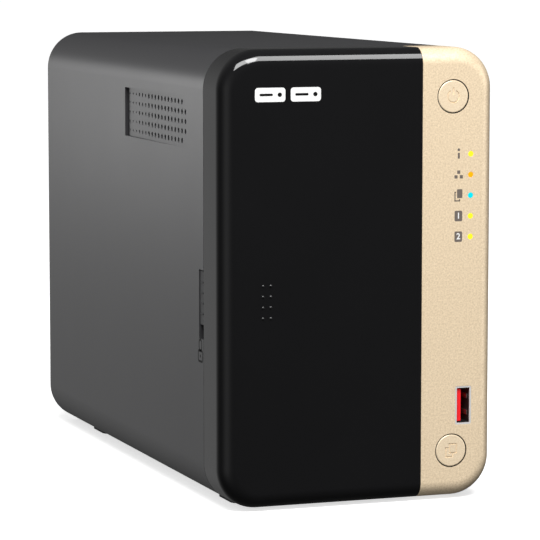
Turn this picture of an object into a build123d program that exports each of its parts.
from build123d import *
import math
import os

# Two-bay network attached storage box, standing upright: millimetres, +Z up, front facing -Y.
# The origin is at the centre of the base, on the surface that the feet stand on.
os.makedirs("parts", exist_ok=True)

# ---------------------------------------------------------------- overall sizes
overall_w = 105.0        # across the sides
overall_h = 165.0        # from the feet to the top
overall_d = 226.0        # from the grip bumps to the rear screw heads
corner_r = 14.7          # rounding of the housing's four long edges
wall = 2.2               # housing, front cover and fascia walls
foot_h = 1.2             # how far the feet stand proud of the base
bump_h = 0.3             # grip bumps on the front cover
front_part_d = 19.2      # depth of the front cover and fascia
front_round = 6.0        # rounding of the front's outer edge
seam_gap = 0.3           # shadow line between the front parts and the housing

# ---------------------------------------------------------------- named clearances
fit_gap = 0.15           # parts assembled once
slide_gap = 0.25         # parts that slide
button_gap = 0.3         # around a button or a light pipe's neighbour
pipe_gap = 0.05          # around a light pipe
port_gap = 0.3           # around a connector in its cut-out
screw_gap = 0.1          # around a screw's shank, on the radius

# ---------------------------------------------------------------- screws
screw_r = 1.45           # M3 shank
screw_head_r = 2.8
screw_head_h = 2.0
small_screw_r = 0.95     # M2 shank
small_head_r = 1.9
small_head_h = 1.3

# ---------------------------------------------------------------- front: cover and controls
strip_w = 28.4           # fascia strip, from where the black cover meets it
cover_split_gap = 0.2
button_inset = 16.5      # both buttons' centre line, from the right side
power_z = 147.35
copy_z = 18.4
button_r = 5.9
button_edge_r = 0.5
button_flange = 1.3      # how far the flange stands out past the cap
button_flange_t = 1.0
button_stem_r = 2.0
button_travel = 0.8
symbol_depth = 0.25
symbol_line = 0.5
standby_r = 2.2          # ring of the standby mark, to the middle of its line
standby_bar = 2.6
standby_bar_rise = 1.9   # middle of the bar above the ring's centre
sheet_w = 3.2            # one sheet of the copy mark
sheet_h = 3.8
sheet_shift = 0.7        # each sheet from the mark's centre
switch_w = 6.0
switch_body_h = 3.4
switch_cap_h = 0.9
switch_cap_r = 1.75
switch_gap = 0.1         # between a pressed stem and its switch
led_inset = 9.45         # lamps' centre line, from the right side
led_top_z = 126.5
led_pitch = 7.5
led_r = 1.0
pipe_edge_r = 0.2
pipe_collar = 0.8        # how far a light pipe's collar stands out
pipe_collar_t = 1.0
pipe_board_gap = 0.2
led_names = ["status", "lan", "usb", "disk_1", "disk_2"]
bump_insets = (15.7, 18.6)   # columns of grip bumps, from the left side
bump_top_z = 81.4
bump_pitch = 3.87
bump_rows = 4
bump_r = 0.6

# ---------------------------------------------------------------- USB-A sockets
usb_open_w = 12.4        # broad side of the mouth
usb_open_h = 5.0         # narrow side of the mouth
usb_skin = 0.35
usb_tongue_t = 1.84
usb_tongue_w = 11.6
front_usb_inset = 11.75  # socket's axis, from the right side
front_usb_z = 34.8
usb_depth = 12.0
usb_set_back = 0.6       # mouth behind the front face
usb_corner_r = 0.5
usb_cut_w = 6.3
usb_cut_h = 14.15
usb_cut_r = 0.6
usb_tongue_back = 0.5    # tongue's end behind the mouth
usb_base_t = 2.4         # block that closes a socket's rear
usb_slip = 0.1

# ---------------------------------------------------------------- cover lock
lock_z = (65.6, 85.4)    # outer face of the slider, in its upper (unlocked) place
lock_travel = 4.7
lock_opening_d = 5.1     # how far the notch runs back from the seam
lock_face_drop = 0.3     # slider's face below the housing's side
lock_ridge_h = 0.3
lock_ridge_pitch = 3.8
lock_ridges = 4
lock_ridge_end = (0.9, 1.3)  # ridges short of the seam, and of the notch's rear
lock_plate_t = 1.9
lock_bolt_h = 3.7
lock_bolt_reach = 2.0    # bolt in front of the frame's plate
lock_plate_below = 4.3   # inner plate past the slider's lower end
lock_plate_above = 5.0
lock_edge_r = 0.4
lock_pad_wall = 1.7      # pad's wall beside the plate
lock_pad_end = 3.0       # pad past the plate's run, at each end
lock_slip = 0.05

# ---------------------------------------------------------------- side vent
vent_top_z = 144.9
vent_rows = 5
vent_row_pitch = 3.54
vent_col_pitch = 4.18
vent_cols = 18
vent_rear_back = 110.35  # rear-most column, behind the front face
vent_rs = (0.5, 0.75, 1.0)   # rear three columns, next three, the rest
vent_wedge = (39.0, 113.3)   # ends of the shallow recess, behind the front face
vent_wedge_z = (128.4, 147.1)
vent_wedge_t = 1.2

# ---------------------------------------------------------------- inner frame
plate_t = 3.0            # front frame's plate
tongue_t = 2.0           # front frame's tongues inside the housing
tongue_d = 8.0
rail_t = 1.5             # rails that carry the front cover
rail_lip = 3.5
rail_stand = 5.0
rail_clear = 0.8         # between a rail's lip and the housing's inside
rail_inset = (14.5, 2.1) # rails' ends, from the left side and from the cover's edge
hook_t = 1.8
hook_l = 12.0
hook_inset = (8.0, 4.0)  # hooks' ends, from the rails' left and right ends
hook_reach = 1.2         # hook's end short of the rail's web
tab_t = 1.4
tab_h = 12.0
tab_zs = (42.0, 83.0, 124.0)
tab_root = (7.0, 2.0)    # tab's root on the cover, from the cover's edge
tab_reach = 2.4          # tab past the cover's edge
lug_t = 1.2
lug_h = 4.5
lug_clear = 0.5          # between the lug and the bolt
tongue_x = 28.0          # half length of the tongues at the top and bottom
side_tongue_zs = ((30.0, 60.0), (125.0, 142.0))
strip_wall_x = (1.2, 2.7)    # wall beside the strip, from the cover's edge
strip_wall_z = (20.0, 145.0)
strip_wall_front = 2.4
boss_r = 3.5
boss_d = 13.0
boss_floor = 2.0         # solid end of a screw boss
boss_blend = 0.8         # share of a boss's radius that stays clear of the corner
fascia_post_r = 2.0
fascia_post_zs = (75.0, 116.0)
fascia_post_inset = 6.1  # posts' axis from the right side
fascia_post_bore = 8.0
board_post_r = 2.4
board_post_zs = (52.0, 100.0, 148.0)
frame_screw_l = 10.0
fascia_screw_l = 6.0

# ---------------------------------------------------------------- drives, trays and cage
drive_w = 26.1           # 3.5 inch drive, on edge
drive_h = 101.6
drive_l = 147.0
tray_h = 118.0
tray_floor_t = 1.8
tray_rail_t = 3.0
bezel_t = 3.5
bay_left_room = 4.4      # between the housing's inside and the left tray
board_room = 31.2        # between the right tray and the housing's inside
bay_z = 83.0             # centre height of both bays
bay_gap = 0.6            # frame window around a tray
tray_front_back = 15.0   # bezel's face behind the front face
bezel_r = 1.5
bezel_slot = (2.6, 17.0, 1.2)    # width, height and corner radius
bezel_slot_pitch = (5.0, 22.0)
floor_window = (26.0, 20.0, 4.0)
floor_window_pitch = (34.0, 30.0)
rail_setback = 1.5       # tray rails short of the tray's open side
drive_front_gap = 3.5    # between the bezel and the drive
drive_floor_gap = 0.4
drive_edge_r = 3.0
drive_overhang = 6.0     # drive past the end of its tray
plug_from_end = (12.0, 47.0)     # drive's plug, from the drive's lower end
plug_pocket = (6.4, 5.0)         # width and depth
plug_blade = (1.2, 5.5, 1.0)     # thickness, root depth and setback
plug_w = 5.0
plug_slot_w = 2.0
plug_reach = 4.2
plug_margin = 1.0        # drive's pocket past the plug's ends
plug_wall = 2.0          # plug's end walls
blade_margin = 3.0       # drive's blade short of the plug's ends
clip_gap = 0.1
clip_end = 4.0
clip_setback = 2.0
handle_t = 2.4
handle_slot = (2.4, 16.0, 1.1)
handle_slot_pitch = (5.0, 20.0)
handle_slot_rise = 2.0
handle_corner_r = 1.2
handle_inset = 3.1
handle_lug = (0.8, 2.0)  # lug's outer face from the tray's side, and its thickness
handle_lug_h = 4.4
handle_lug_wall = 0.7
pin_rise = 5.0           # pin above the tray's lower end
handle_h = 96.0
handle_pin_r = 0.9
handle_knuckle_r = 2.0
cage_t = 1.0
cage_side_gap = 1.0      # between a tray and the cage's walls
cage_h_gap = 1.5         # between a tray and the cage's top and bottom
cage_frame_gap = 3.3     # between the frame's tongues and the cage
cage_slot = (50.0, 8.0, 12.0, 4.0)   # metal left in all, gap, height and corner radius
cage_slot_pitch = 26.0
cage_leg_y = 20.0        # a leg's length along Y
cage_leg_from_end = 20.0
cage_ear = (10.0, 8.0)   # width and height
cage_leg_inset = 6.0     # a leg's outer face from the cage's side
cage_foot_w = 13.0
cage_pillar_h = 3.0
cage_pillar_r = 4.0
cage_screw_floor = 0.6   # screws' ends above the housing's floor

# ---------------------------------------------------------------- boards
board_t = 1.6
front_board_w = 16.4
front_board_z = (14.0, 153.0)
front_board_inset = 3.4  # front board's left edge, from the cover's edge
front_board_gap = 1.4    # between the front board and the frame's plate
front_post_inset = 3.5   # posts' axis from the board's left edge
front_board_screw_l = 5.0
backplane_gap = 6.5      # between the drives' ends and the backplane
backplane_inset = 0.5
backplane_window_w = 22.0
backplane_window_z = (5.0, 12.0) # above the plugs, and below the cage's top
main_inset = 8.1         # mainboard's component side, from the housing's right side
main_z = (16.0, 146.0)
main_front_back = 27.7   # mainboard's front edge, behind the front face
main_rear_gap = 1.0
main_screw_steps = (12.0, 92.0, 168.0)   # screws behind the mainboard's front edge
main_screw_edge = 6.0    # screws from the mainboard's top and bottom
main_screw_l = 3.0       # shank past the mainboard
link_z = (62.0, 84.0)
link_cut = (6.6, 2.7, 1.0)       # window's width, inset and clearance
link_inset = 4.9
link_reach = 8.0
slot_z = (30.0, 58.0)    # backplane's card edge
slot_l = 8.4             # slot's length out from the mainboard
slot_t = 8.0
slot_end = 3.0
slot_floor = 1.4
card_short = 1.5
slip = 0.1               # around a card edge in its slot

# ---------------------------------------------------------------- mainboard parts
cpu_y = -18.0
cpu_z = 92.0
cpu_w = 24.0
cpu_t = 1.4
heatsink_w = 52.0
heatsink_h = 13.0
heatsink_fins = 9
heatsink_fin_t = 1.4
heatsink_base = 2.5
memory_l = 67.6
memory_w = 30.0
memory_t = 1.0
memory_z = 100.0
memory_ys = (20.0, 54.0)
memory_lift = 3.1        # module's lower face above the mainboard
memory_socket = (5.2, 4.0, 3.0, 73.0)    # height, behind, in front and length
memory_chips = 4
memory_chip = (1.0, 10.0, 22.0, 9.0)     # thickness, start, end and width
memory_chip_pitch = 15.0
coin_place = (-66.0, 108.0)
coin_holder = (11.0, 5.0)    # radius and height
coin_cap = (10.0, 0.6)
chip_t = 1.2
chips = (                # place along Y, height and width of each square chip
    (-62.0, 52.0, 12.0),
    (-30.0, 42.0, 14.0),
    (6.0, 46.0, 10.0),
    (34.0, 42.0, 9.0),
    (-62.0, 30.0, 8.0),
    (75.0, 38.0, 12.0),
)
power_row_z = 130.0
coil_ys = (-52.0, -42.0, -32.0)
coil = (7.0, 4.0)        # width and height
can_ys = (-14.0, -4.0, 6.0)
can = (3.2, 7.0)         # radius and height

# ---------------------------------------------------------------- rear panel, fan and ports
panel_t = 1.2
panel_inset = 0.6        # rear panel's face inside the housing's end
fan_w = 70.0
fan_t = 25.0
fan_hole_pitch = 60.0
fan_bore_r = 33.3
fan_tip_gap = 0.6
fan_hub_r = 15.0
fan_hub_wall = 1.5
fan_corner_r = 4.0
fan_seat_t = 3.0
fan_spoke_w = 3.0
fan_shaft = (2.0, 18.0)  # radius and end
fan_sleeve = (4.0, 6.0)  # radius and start
fan_sleeve_gap = 0.05
fan_shaft_gap = 0.5      # past the shaft's end
fan_rotor_ends = (3.8, 2.0)
fan_screw_l = 12.0
fan_blades = 7
fan_blade = (22.0, 1.4, 40.0)    # chord, thickness and angle
fan_inset = 39.0         # fan's axis from the housing's left side
fan_z = 98.0
grille_arc_t = 2.2       # width of a slot in the fan grille
grille_bar_t = 2.0       # width of the metal between two slots
grille_rings = 6
grille_bars = 4
grille_rim = 0.3         # outermost slot inside the fan's bore
panel_screw_l = 8.0
port_proud = 0.3         # sockets stand out of the panel's face
lan_w = 16.0
lan_h = 13.5
lan_l = 21.3
lan_mouth = (3.4, 2.0, 14.0, 11.8)   # from the outer and inner side, depth and width
lan_latch = (1.6, 10.0, 6.2)         # from the outer side, depth and width
lan_zs = (36.0, 54.0)
usb_rear_l = 14.0
usb_rear_inset = 3.6     # axis from the mainboard
usb_rear_tongue = (0.3, 13.0, 0.6)   # from the mouth's side, root depth and setback
usb_rear_base = (15.0, 12.0)
usb_rear_zs = (72.0, 90.0, 108.0)
hdmi_w = 15.0
hdmi_h = 5.6
hdmi_l = 11.0
hdmi_skin = 0.4
hdmi_tongue = (1.0, 11.0, 10.0, 1.0) # thickness, width, root depth and setback
hdmi_base = (9.0, 0.9)               # start, and how much smaller than the shell
hdmi_z = 127.0
reset_inset = 3.0        # axis from the mainboard
reset_r = 1.3
reset_sink = 0.4
reset_l = 4.0
reset_collar = (1.0, 1.6, 0.6)       # how far out, start and end
reset_z = 141.0
dc_w = 9.0
dc_h = 11.0
dc_l = 14.0
dc_axis = 6.0            # barrel's axis from the outer side
dc_barrel = (3.15, 10.0)
dc_pin = (1.0, 11.0, 1.0)
dc_z = 21.5
lock_slot = (-41.0, 22.0)    # centre of the security slot
lock_slot_size = (7.0, 3.0, 1.0)

# ---------------------------------------------------------------- feet
foot_w = 12.0
foot_l = 18.0
foot_sink = 0.8
foot_r = 3.0
foot_inset = 17.5        # feet's centre line from the housing's side
foot_front_back = 1.2    # front feet's leading edge, behind the seam
foot_rear_back = 43.7    # rear feet's leading edge, before the panel's screw heads
over = 1.0               # how far a cutting shape runs past the surface it cuts

# ---------------------------------------------------------------- derived places
half_w = overall_w / 2
button_flange_r = button_r + button_flange
body_h = overall_h - foot_h
mid_z = foot_h + body_h / 2
front_y = -overall_d / 2 + bump_h
rear_y = overall_d / 2 - screw_head_h
shell_end_y = rear_y + panel_inset
seam_y = front_y + front_part_d
cap_back_y = seam_y - seam_gap / 2
shell_front_y = seam_y + seam_gap / 2
front_inner_y = front_y + wall
inner_x = half_w - wall
inner_top = overall_h - wall
inner_base = foot_h + wall
inner_r = corner_r - wall
main_x = half_w - main_inset
fan_x = fan_inset - half_w
foot_x = half_w - foot_inset
tray_w = (2 * inner_x - bay_left_room - board_room - 2 * cage_side_gap - cage_t) / 2
bay_pitch = tray_w + 2 * cage_side_gap + cage_t
bay_1_x = bay_left_room + tray_w / 2 - inner_x
plate_back_y = shell_front_y - fit_gap
plate_y = plate_back_y - plate_t
panel_front_y = rear_y - panel_t
boss_arm = (corner_r - wall - boss_blend * boss_r) / math.sqrt(2)
boss_x = half_w - corner_r + boss_arm
boss_zs = (foot_h + corner_r - boss_arm, overall_h - corner_r + boss_arm)
bay_xs = (bay_1_x, bay_1_x + bay_pitch)
tray_y = front_y + tray_front_back
drive_y = tray_y + bezel_t + drive_front_gap
backplane_y = drive_y + drive_l + backplane_gap
cage_y = (plate_back_y + tongue_d + cage_frame_gap, backplane_y)
cage_l = cage_y[1] - cage_y[0]
cage_x = (
    bay_xs[0] - tray_w / 2 - cage_side_gap - cage_t,
    bay_xs[1] + tray_w / 2 + cage_side_gap + cage_t,
)
cage_z = (
    bay_z - tray_h / 2 - cage_h_gap - cage_t,
    bay_z + tray_h / 2 + cage_h_gap + cage_t,
)
cage_foot_z = inner_base + cage_pillar_h
leg_ys = (cage_y[0] + cage_leg_from_end, cage_y[1] - cage_leg_from_end)
pillar_xs = (
    cage_x[0] + cage_leg_inset + cage_foot_w / 2,
    cage_x[1] - cage_leg_inset - cage_foot_w / 2,
)
main_y = (front_y + main_front_back, panel_front_y - main_rear_gap)
main_screw_ys = tuple(main_y[0] + step for step in main_screw_steps)
main_screw_zs = (main_z[0] + main_screw_edge, main_z[1] - main_screw_edge)
cover_split_x = half_w - strip_w
power_x = half_w - button_inset
led_x = half_w - led_inset
front_usb_x = half_w - front_usb_inset
bump_columns_x = (bump_insets[0] - half_w, bump_insets[1] - half_w)
front_board_x = cover_split_x + front_board_inset
front_post_x = front_board_x + front_post_inset
front_board_y = plate_y - front_board_gap - board_t
fascia_post_x = half_w - fascia_post_inset
rail_x = (rail_inset[0] - half_w, cover_split_x - rail_inset[1])
foot_ys = (seam_y + foot_front_back, overall_d / 2 - foot_rear_back)
fan_y = (panel_front_y - fan_t, panel_front_y)
port_y = rear_y + port_proud


# ---------------------------------------------------------------- helpers
def front_plane(y):
    """A plane at depth y that faces the front: its own x runs right and its own y runs up."""
    return Plane(origin=(0, y, 0), x_dir=(1, 0, 0), z_dir=(0, -1, 0))


def right_plane(x):
    """A plane at x that faces the right: its own x runs to the rear and its own y runs up."""
    return Plane(origin=(x, 0, 0), x_dir=(0, 1, 0), z_dir=(1, 0, 0))


def around(centre, size):
    """The (low, high) pair of a given size about a centre."""
    return (centre - size / 2, centre + size / 2)


def block(x, y, z, mode=Mode.ADD):
    """A box in the part being built, from its (low, high) pairs along X, Y and Z."""
    with Locations((sum(x) / 2, sum(y) / 2, sum(z) / 2)):
        Box(x[1] - x[0], y[1] - y[0], z[1] - z[0], mode=mode)


def rod_x(x, y, z, radius, mode=Mode.ADD):
    """A cylinder along X, from its (low, high) pair along X and its axis's y and z."""
    with Locations(Location((sum(x) / 2, y, z), (0, 90, 0))):
        Cylinder(radius, x[1] - x[0], mode=mode)


def rod_y(x, y, z, radius, mode=Mode.ADD):
    """A cylinder along Y, from its (low, high) pair along Y and its axis's x and z."""
    with Locations(Location((x, sum(y) / 2, z), (90, 0, 0))):
        Cylinder(radius, y[1] - y[0], mode=mode)


def rod_z(x, y, z, radius, mode=Mode.ADD):
    """A cylinder along Z, from its (low, high) pair along Z and its axis's x and y."""
    with Locations((x, y, sum(z) / 2)):
        Cylinder(radius, z[1] - z[0], mode=mode)


def front_cap():
    """The closed front cap that the cover and the fascia strip are both cut from."""
    with BuildPart() as cap:
        with BuildSketch(front_plane(cap_back_y)):
            with Locations((0, mid_z)):
                RectangleRounded(overall_w, body_h, corner_r)
        extrude(amount=cap_back_y - front_y)
        fillet(cap.faces().sort_by(Axis.Y)[0].edges(), front_round)
        offset(amount=-wall, openings=cap.faces().sort_by(Axis.Y)[-1])
    return cap.part


# ---------------------------------------------------------------- outer shell
# One moulded sleeve, open at the front and the rear, with four screw bosses at each end.
with BuildPart() as outer_shell:
    with BuildSketch(front_plane(shell_end_y)):
        with Locations((0, mid_z)):
            RectangleRounded(overall_w, body_h, corner_r)
    extrude(amount=shell_end_y - shell_front_y)
    fillet(outer_shell.faces().sort_by(Axis.Y)[-1].edges(), wall / 2)
    with BuildSketch(front_plane(shell_end_y)):
        with Locations((0, mid_z)):
            RectangleRounded(2 * inner_x, inner_top - inner_base, inner_r)
    extrude(amount=shell_end_y - shell_front_y, mode=Mode.SUBTRACT)
    for boss_z in boss_zs:
        for side in (-1, 1):
            rod_y(side * boss_x, (panel_front_y - boss_d, panel_front_y), boss_z, boss_r)
            rod_y(side * boss_x, (shell_front_y, shell_front_y + boss_d), boss_z, boss_r)
    # pillars that carry the mainboard, on the right-hand wall
    for pillar_y in main_screw_ys:
        for pillar_z in main_screw_zs:
            rod_x((main_x + board_t, inner_x + wall / 2), pillar_y, pillar_z, boss_r)
    # pillars under the drive cage's feet
    for pillar_x in pillar_xs:
        for pillar_y in leg_ys:
            rod_z(pillar_x, pillar_y, (inner_base - wall / 2, cage_foot_z), cage_pillar_r)
    # screw holes in every boss and pillar
    for boss_z in boss_zs:
        for side in (-1, 1):
            rod_y(side * boss_x, (panel_front_y - boss_d + boss_floor, panel_front_y), boss_z,
                  screw_r + screw_gap, mode=Mode.SUBTRACT)
            rod_y(side * boss_x, (shell_front_y, shell_front_y + boss_d - boss_floor), boss_z,
                  screw_r + screw_gap, mode=Mode.SUBTRACT)
    for pillar_y in main_screw_ys:
        for pillar_z in main_screw_zs:
            rod_x((main_x + board_t, inner_x), pillar_y, pillar_z,
                  small_screw_r + screw_gap, mode=Mode.SUBTRACT)
    for pillar_x in pillar_xs:
        for pillar_y in leg_ys:
            rod_z(pillar_x, pillar_y, (inner_base, cage_foot_z),
                  small_screw_r + screw_gap, mode=Mode.SUBTRACT)
    # the shallow wedge that the side vent sits in, deepest at its rear step
    with BuildSketch(Plane.XY.offset(vent_wedge_z[0])):
        with BuildLine():
            Polyline(
                (-half_w - over, front_y + vent_wedge[0]),
                (-half_w, front_y + vent_wedge[0]),
                (-half_w + vent_wedge_t, front_y + vent_wedge[1]),
                (-half_w - over, front_y + vent_wedge[1]),
                close=True,
            )
        make_face()
    extrude(amount=vent_wedge_z[1] - vent_wedge_z[0], mode=Mode.SUBTRACT)
    # the vent's holes: the rear columns are smaller, and the end rows are one hole shorter
    with BuildSketch(right_plane(-half_w)):
        for row in range(vent_rows):
            columns = vent_cols - 1 if row in (0, vent_rows - 1) else vent_cols
            for column in range(columns):
                hole_y = front_y + vent_rear_back - column * vent_col_pitch
                hole_z = vent_top_z - row * vent_row_pitch
                with Locations((hole_y, hole_z)):
                    Circle(vent_rs[min(column // 3, 2)])
    extrude(amount=2 * wall, mode=Mode.SUBTRACT)
    # the notch for the cover lock, open towards the seam
    block((-half_w - over, over - inner_x), (shell_front_y - over, seam_y + lock_opening_d),
          (lock_z[0] - lock_travel - slide_gap, lock_z[1] + slide_gap), mode=Mode.SUBTRACT)
    # pockets for the feet
    for foot_y in foot_ys:
        for side in (-1, 1):
            block(around(side * foot_x, foot_w + 2 * fit_gap),
                  (foot_y - fit_gap, foot_y + foot_l + fit_gap),
                  (foot_h - over, foot_h + foot_sink), mode=Mode.SUBTRACT)
outer_shell.part.label = "outer_shell"
export_step(outer_shell.part, "parts/outer_shell.step")

# ---------------------------------------------------------------- front cover
# The glossy cap over the drive bays. Its hooks run in the front frame's rails.
rail_z = (inner_base + rail_lip + rail_clear, inner_top - rail_lip - rail_clear)
rail_lip_y = (plate_y - rail_stand, plate_y - rail_stand + rail_t)
hook_y = (rail_lip_y[1] + 2 * slide_gap, rail_lip_y[1] + 2 * slide_gap + hook_t)
hook_xs = (
    (rail_x[0] + hook_inset[0], rail_x[0] + hook_inset[0] + hook_l),
    (rail_x[1] - hook_inset[1] - hook_l, rail_x[1] - hook_inset[1]),
)
lug_left = fit_gap + lock_plate_t + 2 * slide_gap - inner_x
lug_x = (lug_left, lug_left + lug_t)
lug_top = lock_z[0] - lock_travel - lug_clear
lug_z = (lug_top - lug_h, lug_top)
tab_y = (front_inner_y + slide_gap, front_inner_y + slide_gap + tab_t)
with BuildPart() as front_cover:
    add(front_cap())
    split(bisect_by=Plane.YZ.offset(cover_split_x - cover_split_gap / 2), keep=Keep.BOTTOM)
    # hooks at the top and the bottom
    for hook_x in hook_xs:
        block(hook_x, hook_y, (rail_z[1] + slide_gap + hook_reach, inner_top + wall / 2))
        block(hook_x, hook_y, (inner_base - wall / 2, rail_z[0] - slide_gap - hook_reach))
    # tabs that tuck behind the fascia's edge
    for tab_z in tab_zs:
        block((cover_split_x - tab_root[0], cover_split_x + tab_reach), tab_y, around(tab_z, tab_h))
        block((cover_split_x - tab_root[0], cover_split_x - tab_root[1]),
              (front_inner_y - wall / 2, tab_y[1]), around(tab_z, tab_h))
    # the lug that the lock's bolt stops
    block(lug_x, (front_inner_y - wall / 2, plate_y - 2 * slide_gap), lug_z)
    # grip bumps
    dome_r = (bump_r**2 + bump_h**2) / (2 * bump_h)
    for bump_x in bump_columns_x:
        for row in range(bump_rows):
            with Locations((bump_x, front_y - bump_h + dome_r, bump_top_z - row * bump_pitch)):
                Sphere(dome_r)
front_cover.part.label = "front_cover"
export_step(front_cover.part, "parts/front_cover.step")

# ---------------------------------------------------------------- fascia strip
with BuildPart() as fascia:
    add(front_cap())
    split(bisect_by=Plane.YZ.offset(cover_split_x + cover_split_gap / 2), keep=Keep.TOP)
    for post_z in fascia_post_zs:
        rod_y(fascia_post_x, (front_y + wall / 2, plate_y), post_z, fascia_post_r)
        rod_y(fascia_post_x, (plate_y - fascia_post_bore, plate_y), post_z,
              small_screw_r + screw_gap, mode=Mode.SUBTRACT)
    with BuildSketch(front_plane(front_inner_y)):
        with Locations((power_x, power_z), (power_x, copy_z)):
            Circle(button_r + button_gap)
        for led in range(len(led_names)):
            with Locations((led_x, led_top_z - led * led_pitch)):
                Circle(led_r + pipe_gap)
        with Locations((front_usb_x, front_usb_z)):
            RectangleRounded(usb_cut_w, usb_cut_h, usb_cut_r)
    extrude(amount=2 * wall, mode=Mode.SUBTRACT)
fascia.part.label = "fascia"
export_step(fascia.part, "parts/fascia.step")

# ---------------------------------------------------------------- front frame
pad_left = fit_gap - inner_x
lock_pad_x = (pad_left, pad_left + lock_plate_t + slide_gap + lock_pad_wall)
lock_plate_z = (lock_z[0] - lock_plate_below, lock_z[1] + lock_plate_above)
lock_pocket_z = (lock_plate_z[0] - lock_travel - slide_gap, lock_plate_z[1] + slide_gap)
tongue_y = (plate_back_y - plate_t / 2, plate_back_y + tongue_d)
with BuildPart() as front_frame:
    with BuildSketch(front_plane(plate_back_y)):
        with Locations((0, mid_z)):
            RectangleRounded(
                2 * (inner_x - slide_gap),
                inner_top - inner_base - 2 * slide_gap,
                inner_r - slide_gap,
            )
        for bay_x in bay_xs:
            with Locations((bay_x, bay_z)):
                Rectangle(tray_w + 2 * bay_gap, tray_h + 2 * bay_gap, mode=Mode.SUBTRACT)
        with Locations((front_board_x + front_board_w - link_cut[1], sum(link_z) / 2)):
            Rectangle(link_cut[0], link_z[1] - link_z[0] + link_cut[2], mode=Mode.SUBTRACT)
    extrude(amount=plate_t)
    # tongues inside the housing's walls
    for tongue_z in ((inner_base + fit_gap, inner_base + fit_gap + tongue_t),
                     (inner_top - fit_gap - tongue_t, inner_top - fit_gap)):
        block((-tongue_x, tongue_x), tongue_y, tongue_z)
    for tongue_z in side_tongue_zs:
        block((inner_x - fit_gap - tongue_t, inner_x - fit_gap), tongue_y, tongue_z)
    # the pad that the cover lock slides in
    block(lock_pad_x, (plate_back_y - plate_t, plate_back_y + tongue_d),
          (lock_pocket_z[0] - lock_pad_end, lock_pocket_z[1] + lock_pad_end))
    block((pad_left - over, pad_left + lock_plate_t + slide_gap),
          (plate_back_y - plate_t - over, plate_back_y + tongue_d - over), lock_pocket_z,
          mode=Mode.SUBTRACT)
    # rails for the cover's hooks
    for edge, lip in ((rail_z[0], 1), (rail_z[1], -1)):
        web = tuple(sorted((edge, edge + lip * rail_t)))
        lips = tuple(sorted((edge + lip * rail_t, edge - lip * (rail_lip - rail_t))))
        block(rail_x, (rail_lip_y[0], plate_y), web)
        block(rail_x, rail_lip_y, lips)
    # the wall beside the control strip, and the posts that carry the front board
    block((cover_split_x + strip_wall_x[0], cover_split_x + strip_wall_x[1]),
          (front_inner_y + strip_wall_front, plate_y), strip_wall_z)
    for post_z in board_post_zs:
        rod_y(front_post_x, (front_board_y + board_t, plate_y), post_z, board_post_r)
        rod_y(front_post_x, (front_board_y, plate_back_y), post_z, small_screw_r + screw_gap,
              mode=Mode.SUBTRACT)
    # holes for the fascia's screws and recessed holes for the frame's own screws
    for post_z in fascia_post_zs:
        rod_y(fascia_post_x, (plate_y, plate_back_y), post_z, small_screw_r + screw_gap,
              mode=Mode.SUBTRACT)
    for boss_z in boss_zs:
        for side in (-1, 1):
            rod_y(side * boss_x, (plate_y, plate_back_y), boss_z, screw_r + screw_gap,
                  mode=Mode.SUBTRACT)
            rod_y(side * boss_x, (plate_y, plate_y + screw_head_h), boss_z,
                  screw_head_r + screw_gap, mode=Mode.SUBTRACT)
front_frame.part.label = "front_frame"
export_step(front_frame.part, "parts/front_frame.step")

# ---------------------------------------------------------------- screws that hold the frame
with BuildPart() as frame_screws:
    for boss_z in boss_zs:
        for side in (-1, 1):
            rod_y(side * boss_x, (plate_y, plate_y + screw_head_h), boss_z, screw_head_r)
            rod_y(side * boss_x, (plate_y, plate_y + frame_screw_l), boss_z, screw_r)
frame_screws.part.label = "frame_screws"
export_step(frame_screws.part, "parts/frame_screws.step")

with BuildPart() as fascia_screws:
    for post_z in fascia_post_zs:
        rod_y(fascia_post_x, (plate_back_y, plate_back_y + small_head_h), post_z, small_head_r)
        rod_y(fascia_post_x, (plate_y - fascia_screw_l, plate_back_y), post_z, small_screw_r)
fascia_screws.part.label = "fascia_screws"
export_step(fascia_screws.part, "parts/fascia_screws.step")

# ---------------------------------------------------------------- cover lock
# A slider in the housing's left side, with a plate inside and a bolt that reaches the lug.
ridge_y = (shell_front_y + lock_ridge_end[0], seam_y + lock_opening_d - lock_ridge_end[1])
with BuildPart() as cover_lock:
    block((lock_face_drop - half_w, pad_left + over),
          (shell_front_y, seam_y + lock_opening_d - slide_gap), lock_z)
    fillet(cover_lock.faces().sort_by(Axis.X)[0].edges(), lock_edge_r)
    block((pad_left + lock_slip, pad_left + lock_plate_t),
          (plate_back_y + slide_gap, plate_back_y + tongue_d - over - slide_gap), lock_plate_z)
    block((pad_left + lock_slip, pad_left + lock_plate_t),
          (plate_y - lock_bolt_reach, plate_back_y + over),
          (lock_plate_z[0], lock_plate_z[0] + lock_bolt_h))
    for ridge in range(lock_ridges):
        ridge_z = sum(lock_z) / 2 + (ridge - (lock_ridges - 1) / 2) * lock_ridge_pitch
        rod_y(lock_face_drop - half_w, ridge_y,
              ridge_z, lock_ridge_h)
cover_lock.part.label = "cover_lock"
export_step(cover_lock.part, "parts/cover_lock.step")

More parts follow.
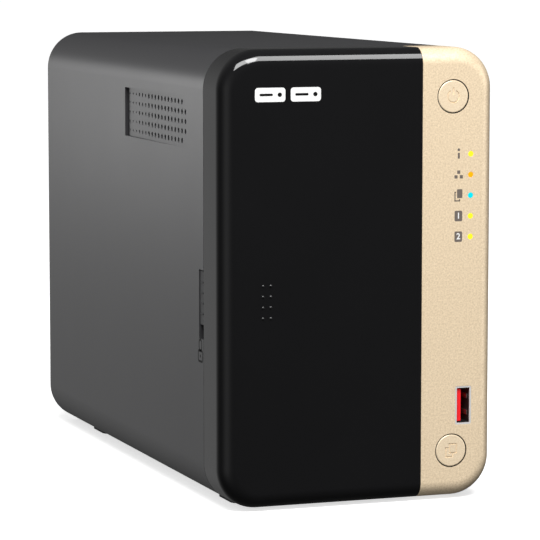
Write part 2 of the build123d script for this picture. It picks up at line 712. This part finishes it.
# ---------------------------------------------------------------- power and copy buttons
flange_y = (front_inner_y + button_gap, front_inner_y + button_gap + button_flange_t)
switch_y = front_board_y - switch_body_h
stem_end_y = switch_y - switch_cap_h - button_travel - switch_gap
with BuildPart() as power_button:
    rod_y(power_x, (front_y, flange_y[1]), power_z, button_r)
    fillet(power_button.faces().sort_by(Axis.Y)[0].edges(), button_edge_r)
    rod_y(power_x, flange_y, power_z, button_flange_r)
    rod_y(power_x, (flange_y[0], stem_end_y), power_z, button_stem_r)
    # the standby mark: an open ring with a bar through its gap
    with BuildSketch(front_plane(front_y)):
        with Locations((power_x, power_z)):
            Circle(standby_r + symbol_line / 2)
            Circle(standby_r - symbol_line / 2, mode=Mode.SUBTRACT)
        with Locations((power_x, power_z + standby_r)):
            Rectangle(standby_r, standby_r, mode=Mode.SUBTRACT)
        with Locations((power_x, power_z + standby_bar_rise)):
            Rectangle(symbol_line, standby_bar)
    extrude(amount=-symbol_depth, mode=Mode.SUBTRACT)
power_button.part.label = "power_button"
export_step(power_button.part, "parts/power_button.step")

with BuildPart() as copy_button:
    rod_y(power_x, (front_y, flange_y[1]), copy_z, button_r)
    fillet(copy_button.faces().sort_by(Axis.Y)[0].edges(), button_edge_r)
    rod_y(power_x, flange_y, copy_z, button_flange_r)
    rod_y(power_x, (flange_y[0], stem_end_y), copy_z, button_stem_r)
    # the copy mark: one sheet's corner behind another
    with BuildSketch(front_plane(front_y)):
        for shift in (-sheet_shift, sheet_shift):
            with Locations((power_x + shift, copy_z + shift)):
                Rectangle(sheet_w, sheet_h)
                Rectangle(sheet_w - 2 * symbol_line, sheet_h - 2 * symbol_line,
                          mode=Mode.SUBTRACT)
    extrude(amount=-symbol_depth, mode=Mode.SUBTRACT)
copy_button.part.label = "copy_button"
export_step(copy_button.part, "parts/copy_button.step")

# ---------------------------------------------------------------- front board and what it carries
with BuildPart() as tact_switches:
    for switch_z in (power_z, copy_z):
        block(around(power_x, switch_w), (switch_y, front_board_y), around(switch_z, switch_w))
        rod_y(power_x, (switch_y - switch_cap_h, switch_y), switch_z, switch_cap_r)
tact_switches.part.label = "tact_switches"
export_step(tact_switches.part, "parts/tact_switches.step")

collar_y = (front_inner_y + slip, front_inner_y + slip + pipe_collar_t)
for led, led_name in enumerate(led_names):
    led_z = led_top_z - led * led_pitch
    with BuildPart() as light_pipe:
        rod_y(led_x, (front_y, front_board_y - pipe_board_gap), led_z, led_r)
        fillet(light_pipe.faces().sort_by(Axis.Y)[0].edges(), pipe_edge_r)
        rod_y(led_x, collar_y, led_z, led_r + pipe_collar)
    light_pipe.part.label = f"light_pipe_{led_name}"
    export_step(light_pipe.part, f"parts/light_pipe_{led_name}.step")

with BuildPart() as front_board:
    block((front_board_x, front_board_x + front_board_w), (front_board_y, front_board_y + board_t),
          front_board_z)
    for post_z in board_post_zs:
        rod_y(front_post_x, (front_board_y, front_board_y + board_t), post_z,
              small_screw_r + screw_gap, mode=Mode.SUBTRACT)
front_board.part.label = "front_board"
export_step(front_board.part, "parts/front_board.step")

with BuildPart() as front_board_screws:
    for post_z in board_post_zs:
        rod_y(front_post_x, (front_board_y - small_head_h, front_board_y), post_z,
              small_head_r)
        rod_y(front_post_x, (front_board_y, front_board_y + front_board_screw_l), post_z,
              small_screw_r)
front_board_screws.part.label = "front_board_screws"
export_step(front_board_screws.part, "parts/front_board_screws.step")

front_usb_y = (front_y + usb_set_back, front_y + usb_set_back + usb_depth)
with BuildPart() as front_usb_shell:
    block(around(front_usb_x, usb_open_h + 2 * usb_skin), front_usb_y,
          around(front_usb_z, usb_open_w + 2 * usb_skin))
    fillet(front_usb_shell.edges().filter_by(Axis.Y), usb_corner_r)
    block(around(front_usb_x, usb_open_h), front_usb_y, around(front_usb_z, usb_open_w),
          mode=Mode.SUBTRACT)
front_usb_shell.part.label = "front_usb_shell"
export_step(front_usb_shell.part, "parts/front_usb_shell.step")

# the tongue lies against the left side of the mouth, and its base closes the shell's rear
tongue_left = front_usb_x - usb_open_h / 2 + usb_slip
with BuildPart() as front_usb_tongue:
    block((tongue_left, tongue_left + usb_tongue_t), (front_usb_y[0] + usb_tongue_back, front_usb_y[1]),
          around(front_usb_z, usb_tongue_w))
    block(around(front_usb_x, usb_open_h - usb_slip), (front_usb_y[1] - usb_base_t, front_board_y),
          around(front_usb_z, usb_open_w - usb_slip))
front_usb_tongue.part.label = "front_usb_tongue"
export_step(front_usb_tongue.part, "parts/front_usb_tongue.step")

with BuildPart() as board_link:
    block((front_board_x + front_board_w - link_inset, main_x),
          (front_board_y + board_t, main_y[0] + link_reach), link_z)
board_link.part.label = "board_link"
export_step(board_link.part, "parts/board_link.step")

# ---------------------------------------------------------------- drive cage
ear_zs = (cage_z[0] + cage_ear[1] / 2, cage_z[1] - cage_ear[1] / 2)
with BuildPart() as drive_cage:
    block(cage_x, cage_y, cage_z)
    wall_x = sum(bay_xs) / 2
    for hollow in ((cage_x[0] + cage_t, wall_x - cage_t / 2),
                   (wall_x + cage_t / 2, cage_x[1] - cage_t)):
        block(hollow, cage_y, (cage_z[0] + cage_t, cage_z[1] - cage_t), mode=Mode.SUBTRACT)
    # air slots through the walls and the partition
    air_slot_l = (cage_l - cage_slot[0]) / 3
    with BuildSketch(right_plane(cage_x[0])):
        with Locations((sum(cage_y) / 2, bay_z)):
            with GridLocations(air_slot_l + cage_slot[1], cage_slot_pitch, 3, 4):
                RectangleRounded(air_slot_l, cage_slot[2], cage_slot[3])
    extrude(amount=cage_x[1] - cage_x[0], mode=Mode.SUBTRACT)
    # four legs with feet that are screwed to the housing's floor
    for leg_y in leg_ys:
        leg_span = around(leg_y, cage_leg_y)
        for leg_x, inward in ((cage_x[0] + cage_leg_inset, 1), (cage_x[1] - cage_leg_inset, -1)):
            leg_skin = tuple(sorted((leg_x, leg_x + inward * cage_t)))
            leg_foot = tuple(sorted((leg_x, leg_x + inward * cage_foot_w)))
            block(leg_skin, leg_span, (cage_foot_z, cage_z[0] + cage_t))
            block(leg_foot, leg_span, (cage_foot_z, cage_foot_z + cage_t))
        for pillar_x in pillar_xs:
            rod_z(pillar_x, leg_y, (cage_foot_z, cage_foot_z + cage_t), small_screw_r + screw_gap,
                  mode=Mode.SUBTRACT)
    # ears that the backplane is screwed to
    for ear_z in ear_zs:
        for ear_x in bay_xs:
            block(around(ear_x, cage_ear[0]), (cage_y[1] - cage_t, cage_y[1]),
                  around(ear_z, cage_ear[1]))
            rod_y(ear_x, (cage_y[1] - cage_t, cage_y[1]), ear_z, small_screw_r + screw_gap,
                  mode=Mode.SUBTRACT)
drive_cage.part.label = "drive_cage"
export_step(drive_cage.part, "parts/drive_cage.step")

with BuildPart() as cage_screws:
    for leg_y in leg_ys:
        for pillar_x in pillar_xs:
            rod_z(pillar_x, leg_y, (cage_foot_z + cage_t, cage_foot_z + cage_t + small_head_h),
                  small_head_r)
            rod_z(pillar_x, leg_y, (inner_base + cage_screw_floor, cage_foot_z + cage_t),
                  small_screw_r)
cage_screws.part.label = "cage_screws"
export_step(cage_screws.part, "parts/cage_screws.step")

# ---------------------------------------------------------------- trays, handles and drives
tray_z = around(bay_z, tray_h)
drive_z = around(bay_z, drive_h)
drive_y_end = drive_y + drive_l
tray_end_y = drive_y_end - drive_overhang
plug_z = (drive_z[0] + plug_from_end[0], drive_z[0] + plug_from_end[1])
pin_y = tray_y - handle_knuckle_r - slide_gap
pin_z = tray_z[0] + pin_rise
handle_z = (pin_z, pin_z + handle_h)
for bay, bay_x in enumerate(bay_xs, start=1):
    tray_x = around(bay_x, tray_w)
    drive_left = tray_x[0] + tray_floor_t + drive_floor_gap
    with BuildPart() as tray:
        # perforated bezel
        block(tray_x, (tray_y, tray_y + bezel_t), tray_z)
        fillet(tray.edges().filter_by(Axis.Y), bezel_r)
        with BuildSketch(front_plane(tray_y + bezel_t)):
            with Locations((bay_x, bay_z)):
                with GridLocations(*bezel_slot_pitch, 4, 4):
                    RectangleRounded(*bezel_slot)
        extrude(amount=bezel_t, mode=Mode.SUBTRACT)
        # floor beside the drive, with air windows, and a rail above and below it
        block((tray_x[0], tray_x[0] + tray_floor_t), (tray_y + bezel_t, tray_end_y), tray_z)
        with BuildSketch(right_plane(tray_x[0])):
            with Locations(((tray_y + tray_end_y) / 2, bay_z)):
                with GridLocations(*floor_window_pitch, 4, 3):
                    RectangleRounded(*floor_window)
        extrude(amount=tray_floor_t, mode=Mode.SUBTRACT)
        for rail_span in ((tray_z[0], tray_z[0] + tray_rail_t),
                          (tray_z[1] - tray_rail_t, tray_z[1])):
            block((tray_x[0], tray_x[1] - rail_setback), (tray_y + bezel_t, tray_end_y), rail_span)
        # lugs that hold the handle's pin
        for lug in (tray_x[0] + handle_lug[0], tray_x[1] - sum(handle_lug)):
            lug_span = (lug, lug + handle_lug[1])
            block(lug_span, (pin_y - handle_pin_r - handle_lug_wall, tray_y + bezel_t / 2),
                  around(pin_z, handle_lug_h))
            rod_x(lug_span, pin_y, pin_z, handle_pin_r + pipe_gap, mode=Mode.SUBTRACT)
    tray.part.label = f"tray_{bay}"
    export_step(tray.part, f"parts/tray_{bay}.step")

    with BuildPart() as handle:
        handle_x = (tray_x[0] + handle_inset, tray_x[1] - handle_inset)
        block(handle_x, around(pin_y, handle_t), handle_z)
        fillet(handle.edges().filter_by(Axis.Y), handle_corner_r)
        with BuildSketch(front_plane(pin_y + handle_t / 2)):
            with Locations((bay_x, sum(handle_z) / 2 + handle_slot_rise)):
                with GridLocations(*handle_slot_pitch, 4, 4):
                    RectangleRounded(*handle_slot)
        extrude(amount=handle_t, mode=Mode.SUBTRACT)
        rod_x(handle_x, pin_y, pin_z, handle_knuckle_r)
        rod_x(handle_x, pin_y, pin_z, handle_pin_r + pipe_gap, mode=Mode.SUBTRACT)
    handle.part.label = f"tray_handle_{bay}"
    export_step(handle.part, f"parts/tray_handle_{bay}.step")

    with BuildPart() as handle_pin:
        rod_x((tray_x[0] + handle_lug[0], tray_x[1] - handle_lug[0]), pin_y, pin_z, handle_pin_r)
    handle_pin.part.label = f"handle_pin_{bay}"
    export_step(handle_pin.part, f"parts/handle_pin_{bay}.step")

    with BuildPart() as drive_clips:
        for clip_z in ((tray_z[0] + tray_rail_t + clip_gap, drive_z[0] - clip_gap),
                       (drive_z[1] + clip_gap, tray_z[1] - tray_rail_t - clip_gap)):
            block((tray_x[0] + tray_floor_t + clip_gap, tray_x[1] - clip_setback),
                  (drive_y + clip_end, tray_end_y - clip_end), clip_z)
    drive_clips.part.label = f"drive_clips_{bay}"
    export_step(drive_clips.part, f"parts/drive_clips_{bay}.step")

    with BuildPart() as hard_drive:
        block((drive_left, drive_left + drive_w), (drive_y, drive_y_end), drive_z)
        fillet(hard_drive.edges().filter_by(Axis.X), drive_edge_r)
        # pocket and tongue of the drive's plug
        block(around(bay_x, plug_pocket[0]), (drive_y_end - plug_pocket[1], drive_y_end),
              (plug_z[0] - plug_margin, plug_z[1] + plug_margin), mode=Mode.SUBTRACT)
        block(around(bay_x, plug_blade[0]), (drive_y_end - plug_blade[1], drive_y_end - plug_blade[2]),
              (plug_z[0] + blade_margin, plug_z[1] - blade_margin))
    hard_drive.part.label = f"hard_drive_{bay}"
    export_step(hard_drive.part, f"parts/hard_drive_{bay}.step")

    with BuildPart() as sata_connector:
        block(around(bay_x, plug_w), (drive_y_end - plug_reach, backplane_y), plug_z)
        block(around(bay_x, plug_slot_w), (drive_y_end - plug_reach, drive_y_end + over),
              (plug_z[0] + plug_wall, plug_z[1] - plug_wall), mode=Mode.SUBTRACT)
    sata_connector.part.label = f"sata_connector_{bay}"
    export_step(sata_connector.part, f"parts/sata_connector_{bay}.step")

# ---------------------------------------------------------------- backplane
slot_front_x = main_x - slot_l
with BuildPart() as backplane_board:
    block((cage_x[0] + backplane_inset, cage_x[1]), (backplane_y, backplane_y + board_t), cage_z)
    block((cage_x[1] - over, main_x - card_short), (backplane_y, backplane_y + board_t), slot_z)
    # air windows above the plugs
    for bay_x in bay_xs:
        block(around(bay_x, backplane_window_w), (backplane_y, backplane_y + board_t),
              (plug_z[1] + backplane_window_z[0], cage_z[1] - backplane_window_z[1]),
              mode=Mode.SUBTRACT)
    for ear_z in ear_zs:
        for ear_x in bay_xs:
            rod_y(ear_x, (backplane_y, backplane_y + board_t), ear_z, small_screw_r + screw_gap,
                  mode=Mode.SUBTRACT)
backplane_board.part.label = "backplane_board"
export_step(backplane_board.part, "parts/backplane_board.step")

with BuildPart() as backplane_screws:
    for ear_z in ear_zs:
        for ear_x in bay_xs:
            rod_y(ear_x, (backplane_y + board_t, backplane_y + board_t + small_head_h), ear_z,
                  small_head_r)
            rod_y(ear_x, (cage_y[1] - cage_t, backplane_y + board_t), ear_z, small_screw_r)
backplane_screws.part.label = "backplane_screws"
export_step(backplane_screws.part, "parts/backplane_screws.step")

with BuildPart() as backplane_slot:
    block((slot_front_x, main_x), around(backplane_y + board_t / 2, slot_t),
          (slot_z[0] - slot_end, slot_z[1] + slot_end))
    block((slot_front_x, main_x - slot_floor), around(backplane_y + board_t / 2, board_t + 2 * slip),
          (slot_z[0] - slip, slot_z[1] + slip), mode=Mode.SUBTRACT)
backplane_slot.part.label = "backplane_slot"
export_step(backplane_slot.part, "parts/backplane_slot.step")

# ---------------------------------------------------------------- mainboard and what it carries
with BuildPart() as mainboard:
    block((main_x, main_x + board_t), main_y, main_z)
    for pillar_y in main_screw_ys:
        for pillar_z in main_screw_zs:
            rod_x((main_x, main_x + board_t), pillar_y, pillar_z, small_screw_r + screw_gap,
                  mode=Mode.SUBTRACT)
mainboard.part.label = "mainboard"
export_step(mainboard.part, "parts/mainboard.step")

with BuildPart() as mainboard_screws:
    for pillar_y in main_screw_ys:
        for pillar_z in main_screw_zs:
            rod_x((main_x - small_head_h, main_x), pillar_y, pillar_z, small_head_r)
            rod_x((main_x, main_x + board_t + main_screw_l), pillar_y, pillar_z, small_screw_r)
mainboard_screws.part.label = "mainboard_screws"
export_step(mainboard_screws.part, "parts/mainboard_screws.step")

with BuildPart() as processor:
    block((main_x - cpu_t, main_x), around(cpu_y, cpu_w), around(cpu_z, cpu_w))
processor.part.label = "processor"
export_step(processor.part, "parts/processor.step")

heatsink_x = (main_x - cpu_t - heatsink_h, main_x - cpu_t)
fin_pitch = (heatsink_w - heatsink_fin_t) / (heatsink_fins - 1)
with BuildPart() as heatsink:
    block((heatsink_x[1] - heatsink_base, heatsink_x[1]), around(cpu_y, heatsink_w),
          around(cpu_z, heatsink_w))
    for fin in range(heatsink_fins):
        fin_z = cpu_z + (fin - (heatsink_fins - 1) / 2) * fin_pitch
        block(heatsink_x, around(cpu_y, heatsink_w), around(fin_z, heatsink_fin_t))
heatsink.part.label = "heatsink"
export_step(heatsink.part, "parts/heatsink.step")

memory_x = (main_x - memory_lift - memory_t, main_x - memory_lift)
with BuildPart() as memory_sockets:
    for memory_y in memory_ys:
        block((main_x - memory_socket[0], main_x),
              (memory_y - memory_socket[1], memory_y + memory_socket[2]),
              around(memory_z, memory_socket[3]))
        block((memory_x[0] - slip, memory_x[1] + slip), (memory_y - over, memory_y + memory_socket[2]),
              around(memory_z, memory_l + 2 * slip), mode=Mode.SUBTRACT)
memory_sockets.part.label = "memory_sockets"
export_step(memory_sockets.part, "parts/memory_sockets.step")

for module, memory_y in enumerate(memory_ys, start=1):
    with BuildPart() as memory_module:
        block(memory_x, (memory_y, memory_y + memory_w), around(memory_z, memory_l))
        for chip in range(memory_chips):
            chip_z = memory_z + (chip - (memory_chips - 1) / 2) * memory_chip_pitch
            block((memory_x[0] - memory_chip[0], memory_x[0]),
                  (memory_y + memory_chip[1], memory_y + memory_chip[2]),
                  around(chip_z, memory_chip[3]))
    memory_module.part.label = f"memory_module_{module}"
    export_step(memory_module.part, f"parts/memory_module_{module}.step")

with BuildPart() as coin_cell:
    coin_face = main_x - coin_holder[1]
    rod_x((coin_face, main_x), *coin_place, coin_holder[0])
    rod_x((coin_face - coin_cap[1], coin_face), *coin_place, coin_cap[0])
coin_cell.part.label = "coin_cell"
export_step(coin_cell.part, "parts/coin_cell.step")

with BuildPart() as mainboard_chips:
    for chip_y, chip_z, chip_w in chips:
        block((main_x - chip_t, main_x), around(chip_y, chip_w), around(chip_z, chip_w))
    for coil_y in coil_ys:
        block((main_x - coil[1], main_x), around(coil_y, coil[0]), around(power_row_z, coil[0]))
    for can_y in can_ys:
        rod_x((main_x - can[1], main_x), can_y, power_row_z, can[0])
mainboard_chips.part.label = "mainboard_chips"
export_step(mainboard_chips.part, "parts/mainboard_chips.step")

# ---------------------------------------------------------------- rear panel
usb_rear_x = main_x - usb_rear_inset
hdmi_x = main_x - hdmi_h / 2 - hdmi_skin
reset_x = main_x - reset_inset
with BuildPart() as rear_panel:
    with BuildSketch(front_plane(rear_y)):
        with Locations((0, mid_z)):
            RectangleRounded(
                2 * (inner_x - fit_gap),
                inner_top - inner_base - 2 * fit_gap,
                inner_r - fit_gap,
            )
        # fan grille: rings of slots, cut from the outermost inwards, between four straight bars
        for ring in range(grille_rings):
            ring_r = fan_bore_r - grille_rim - ring * (grille_arc_t + grille_bar_t)
            with Locations((fan_x, fan_z)):
                Circle(ring_r, mode=Mode.SUBTRACT)
                Circle(ring_r - grille_arc_t)
        for bar in range(grille_bars):
            with Locations((fan_x, fan_z)):
                Rectangle(2 * fan_bore_r, grille_bar_t, rotation=180.0 * bar / grille_bars)
        for screw_dx in (-1, 1):
            for screw_dz in (-1, 1):
                with Locations((fan_x + screw_dx * fan_hole_pitch / 2,
                                fan_z + screw_dz * fan_hole_pitch / 2)):
                    Circle(screw_r + screw_gap, mode=Mode.SUBTRACT)
        with Locations(*[(side * boss_x, boss_z) for side in (-1, 1) for boss_z in boss_zs]):
            Circle(screw_r + screw_gap, mode=Mode.SUBTRACT)
        # port cut-outs
        with Locations(*[(main_x - lan_h / 2, lan_z) for lan_z in lan_zs]):
            Rectangle(lan_h + 2 * port_gap, lan_w + 2 * port_gap, mode=Mode.SUBTRACT)
        with Locations(*[(usb_rear_x, usb_z) for usb_z in usb_rear_zs]):
            Rectangle(usb_open_h + 2 * usb_skin + 2 * port_gap,
                      usb_open_w + 2 * usb_skin + 2 * port_gap, mode=Mode.SUBTRACT)
        with Locations((hdmi_x, hdmi_z)):
            Rectangle(hdmi_h + 2 * port_gap, hdmi_w + 2 * port_gap, mode=Mode.SUBTRACT)
        with Locations((main_x - dc_h / 2, dc_z)):
            Rectangle(dc_h + 2 * port_gap, dc_w + 2 * port_gap, mode=Mode.SUBTRACT)
        with Locations((reset_x, reset_z)):
            Circle(reset_r + button_gap, mode=Mode.SUBTRACT)
        with Locations(lock_slot):
            RectangleRounded(*lock_slot_size, mode=Mode.SUBTRACT)
    extrude(amount=panel_t)
rear_panel.part.label = "rear_panel"
export_step(rear_panel.part, "parts/rear_panel.step")

with BuildPart() as panel_screws:
    for boss_z in boss_zs:
        for side in (-1, 1):
            rod_y(side * boss_x, (rear_y, rear_y + screw_head_h), boss_z, screw_head_r)
            rod_y(side * boss_x, (panel_front_y - panel_screw_l, rear_y), boss_z, screw_r)
panel_screws.part.label = "panel_screws"
export_step(panel_screws.part, "parts/panel_screws.step")

# ---------------------------------------------------------------- rear sockets
lan_left = main_x - lan_h
for socket, lan_z in enumerate(lan_zs, start=1):
    with BuildPart() as lan_socket:
        block((lan_left, main_x), (port_y - lan_l, port_y), around(lan_z, lan_w))
        block((lan_left + lan_mouth[0], main_x - lan_mouth[1]), (port_y - lan_mouth[2], port_y),
              around(lan_z, lan_mouth[3]), mode=Mode.SUBTRACT)
        block((lan_left + lan_latch[0], lan_left + lan_mouth[0]), (port_y - lan_latch[1], port_y),
              around(lan_z, lan_latch[2]), mode=Mode.SUBTRACT)
    lan_socket.part.label = f"lan_socket_{socket}"
    export_step(lan_socket.part, f"parts/lan_socket_{socket}.step")

with BuildPart() as rear_usb_shells:
    for usb_z in usb_rear_zs:
        block(around(usb_rear_x, usb_open_h + 2 * usb_skin), (port_y - usb_rear_l, port_y),
              around(usb_z, usb_open_w + 2 * usb_skin))
    fillet(rear_usb_shells.edges().filter_by(Axis.Y), usb_corner_r)
    for usb_z in usb_rear_zs:
        block(around(usb_rear_x, usb_open_h), (port_y - usb_rear_l, port_y),
              around(usb_z, usb_open_w), mode=Mode.SUBTRACT)
rear_usb_shells.part.label = "rear_usb_shells"
export_step(rear_usb_shells.part, "parts/rear_usb_shells.step")

tongue_right = usb_rear_x + usb_open_h / 2 - usb_rear_tongue[0]
with BuildPart() as rear_usb_tongues:
    for usb_z in usb_rear_zs:
        block((tongue_right - usb_tongue_t, tongue_right),
              (port_y - usb_rear_tongue[1], port_y - usb_rear_tongue[2]),
              around(usb_z, usb_tongue_w))
        block(around(usb_rear_x, usb_open_h - usb_slip),
              (port_y - usb_rear_base[0], port_y - usb_rear_base[1]),
              around(usb_z, usb_open_w - usb_slip))
rear_usb_tongues.part.label = "rear_usb_tongues"
export_step(rear_usb_tongues.part, "parts/rear_usb_tongues.step")

with BuildPart() as hdmi_shell:
    with BuildSketch(front_plane(port_y)):
        with Locations((hdmi_x, hdmi_z)):
            Rectangle(hdmi_h, hdmi_w)
            Rectangle(hdmi_h - 2 * hdmi_skin, hdmi_w - 2 * hdmi_skin, mode=Mode.SUBTRACT)
    extrude(amount=hdmi_l)
hdmi_shell.part.label = "hdmi_shell"
export_step(hdmi_shell.part, "parts/hdmi_shell.step")

with BuildPart() as hdmi_blade:
    block(around(hdmi_x, hdmi_tongue[0]), (port_y - hdmi_tongue[2], port_y - hdmi_tongue[3]),
          around(hdmi_z, hdmi_tongue[1]))
    block(around(hdmi_x, hdmi_h - hdmi_base[1]), (port_y - hdmi_l, port_y - hdmi_base[0]),
          around(hdmi_z, hdmi_w - hdmi_base[1]))
hdmi_blade.part.label = "hdmi_tongue"
export_step(hdmi_blade.part, "parts/hdmi_tongue.step")

with BuildPart() as dc_jack:
    block((main_x - dc_h, main_x), (port_y - dc_l, port_y), around(dc_z, dc_w))
    rod_y(main_x - dc_h + dc_axis, (port_y - dc_barrel[1], port_y), dc_z, dc_barrel[0],
          mode=Mode.SUBTRACT)
    rod_y(main_x - dc_h + dc_axis, (port_y - dc_pin[1], port_y - dc_pin[2]), dc_z, dc_pin[0])
dc_jack.part.label = "dc_jack"
export_step(dc_jack.part, "parts/dc_jack.step")

with BuildPart() as reset_button:
    rod_y(reset_x, (panel_front_y - reset_l, rear_y - reset_sink), reset_z, reset_r)
    rod_y(reset_x, (panel_front_y - reset_collar[1], panel_front_y - reset_collar[2]), reset_z,
          reset_r + reset_collar[0])
reset_button.part.label = "reset_button"
export_step(reset_button.part, "parts/reset_button.step")

# ---------------------------------------------------------------- fan
with BuildPart() as fan_frame:
    with BuildSketch(front_plane(fan_y[1])):
        with Locations((fan_x, fan_z)):
            RectangleRounded(fan_w, fan_w, fan_corner_r)
            Circle(fan_bore_r, mode=Mode.SUBTRACT)
            with GridLocations(fan_hole_pitch, fan_hole_pitch, 2, 2):
                Circle(screw_r + screw_gap, mode=Mode.SUBTRACT)
    extrude(amount=fan_t)
    # motor seat on four spokes at the inner end
    with BuildSketch(front_plane(fan_y[0] + fan_seat_t)):
        with Locations((fan_x, fan_z)):
            Circle(fan_hub_r)
            for spoke in range(2):
                Rectangle(2 * (fan_bore_r + over), fan_spoke_w, rotation=45.0 + 90.0 * spoke)
    extrude(amount=fan_seat_t)
    rod_y(fan_x, (fan_y[0] + fan_seat_t, fan_y[0] + fan_shaft[1]), fan_z, fan_shaft[0])
fan_frame.part.label = "fan_frame"
export_step(fan_frame.part, "parts/fan_frame.step")

blade_r = fan_bore_r - fan_tip_gap
rotor_y = (fan_y[0] + fan_rotor_ends[0], fan_y[1] - fan_rotor_ends[1])
sleeve_y = rotor_y[0] + fan_sleeve[1]
with BuildPart() as fan_rotor:
    for blade in range(fan_blades):
        turn = 360.0 * blade / fan_blades
        blade_plane = Plane(
            origin=(fan_x, sum(rotor_y) / 2, fan_z),
            x_dir=(0, 1, 0),
            z_dir=(math.cos(math.radians(turn)), 0, math.sin(math.radians(turn))),
        )
        with BuildSketch(blade_plane):
            Rectangle(fan_blade[0], fan_blade[1], rotation=fan_blade[2])
        extrude(amount=fan_bore_r)
    rod_y(fan_x, rotor_y, fan_z, blade_r, mode=Mode.INTERSECT)
    rod_y(fan_x, rotor_y, fan_z, fan_hub_r)
    rod_y(fan_x, (rotor_y[0], rotor_y[1] - fan_hub_wall), fan_z, fan_hub_r - fan_hub_wall,
          mode=Mode.SUBTRACT)
    rod_y(fan_x, (sleeve_y, rotor_y[1] - fan_hub_wall / 2), fan_z, fan_sleeve[0])
    rod_y(fan_x, (sleeve_y, fan_y[0] + fan_shaft[1] + fan_shaft_gap), fan_z,
          fan_shaft[0] + fan_sleeve_gap, mode=Mode.SUBTRACT)
fan_rotor.part.label = "fan_rotor"
export_step(fan_rotor.part, "parts/fan_rotor.step")

with BuildPart() as fan_screws:
    for screw_dx in (-1, 1):
        for screw_dz in (-1, 1):
            screw_x = fan_x + screw_dx * fan_hole_pitch / 2
            screw_z = fan_z + screw_dz * fan_hole_pitch / 2
            rod_y(screw_x, (rear_y, rear_y + screw_head_h), screw_z, screw_head_r)
            rod_y(screw_x, (rear_y - fan_screw_l, rear_y), screw_z, screw_r)
fan_screws.part.label = "fan_screws"
export_step(fan_screws.part, "parts/fan_screws.step")

# ---------------------------------------------------------------- feet
with BuildPart() as feet:
    for foot_y in foot_ys:
        for side in (-1, 1):
            block(around(side * foot_x, foot_w), (foot_y, foot_y + foot_l), (0.0, foot_h + foot_sink))
    fillet(feet.edges().filter_by(Axis.Z), foot_r)
feet.part.label = "feet"
export_step(feet.part, "parts/feet.step")
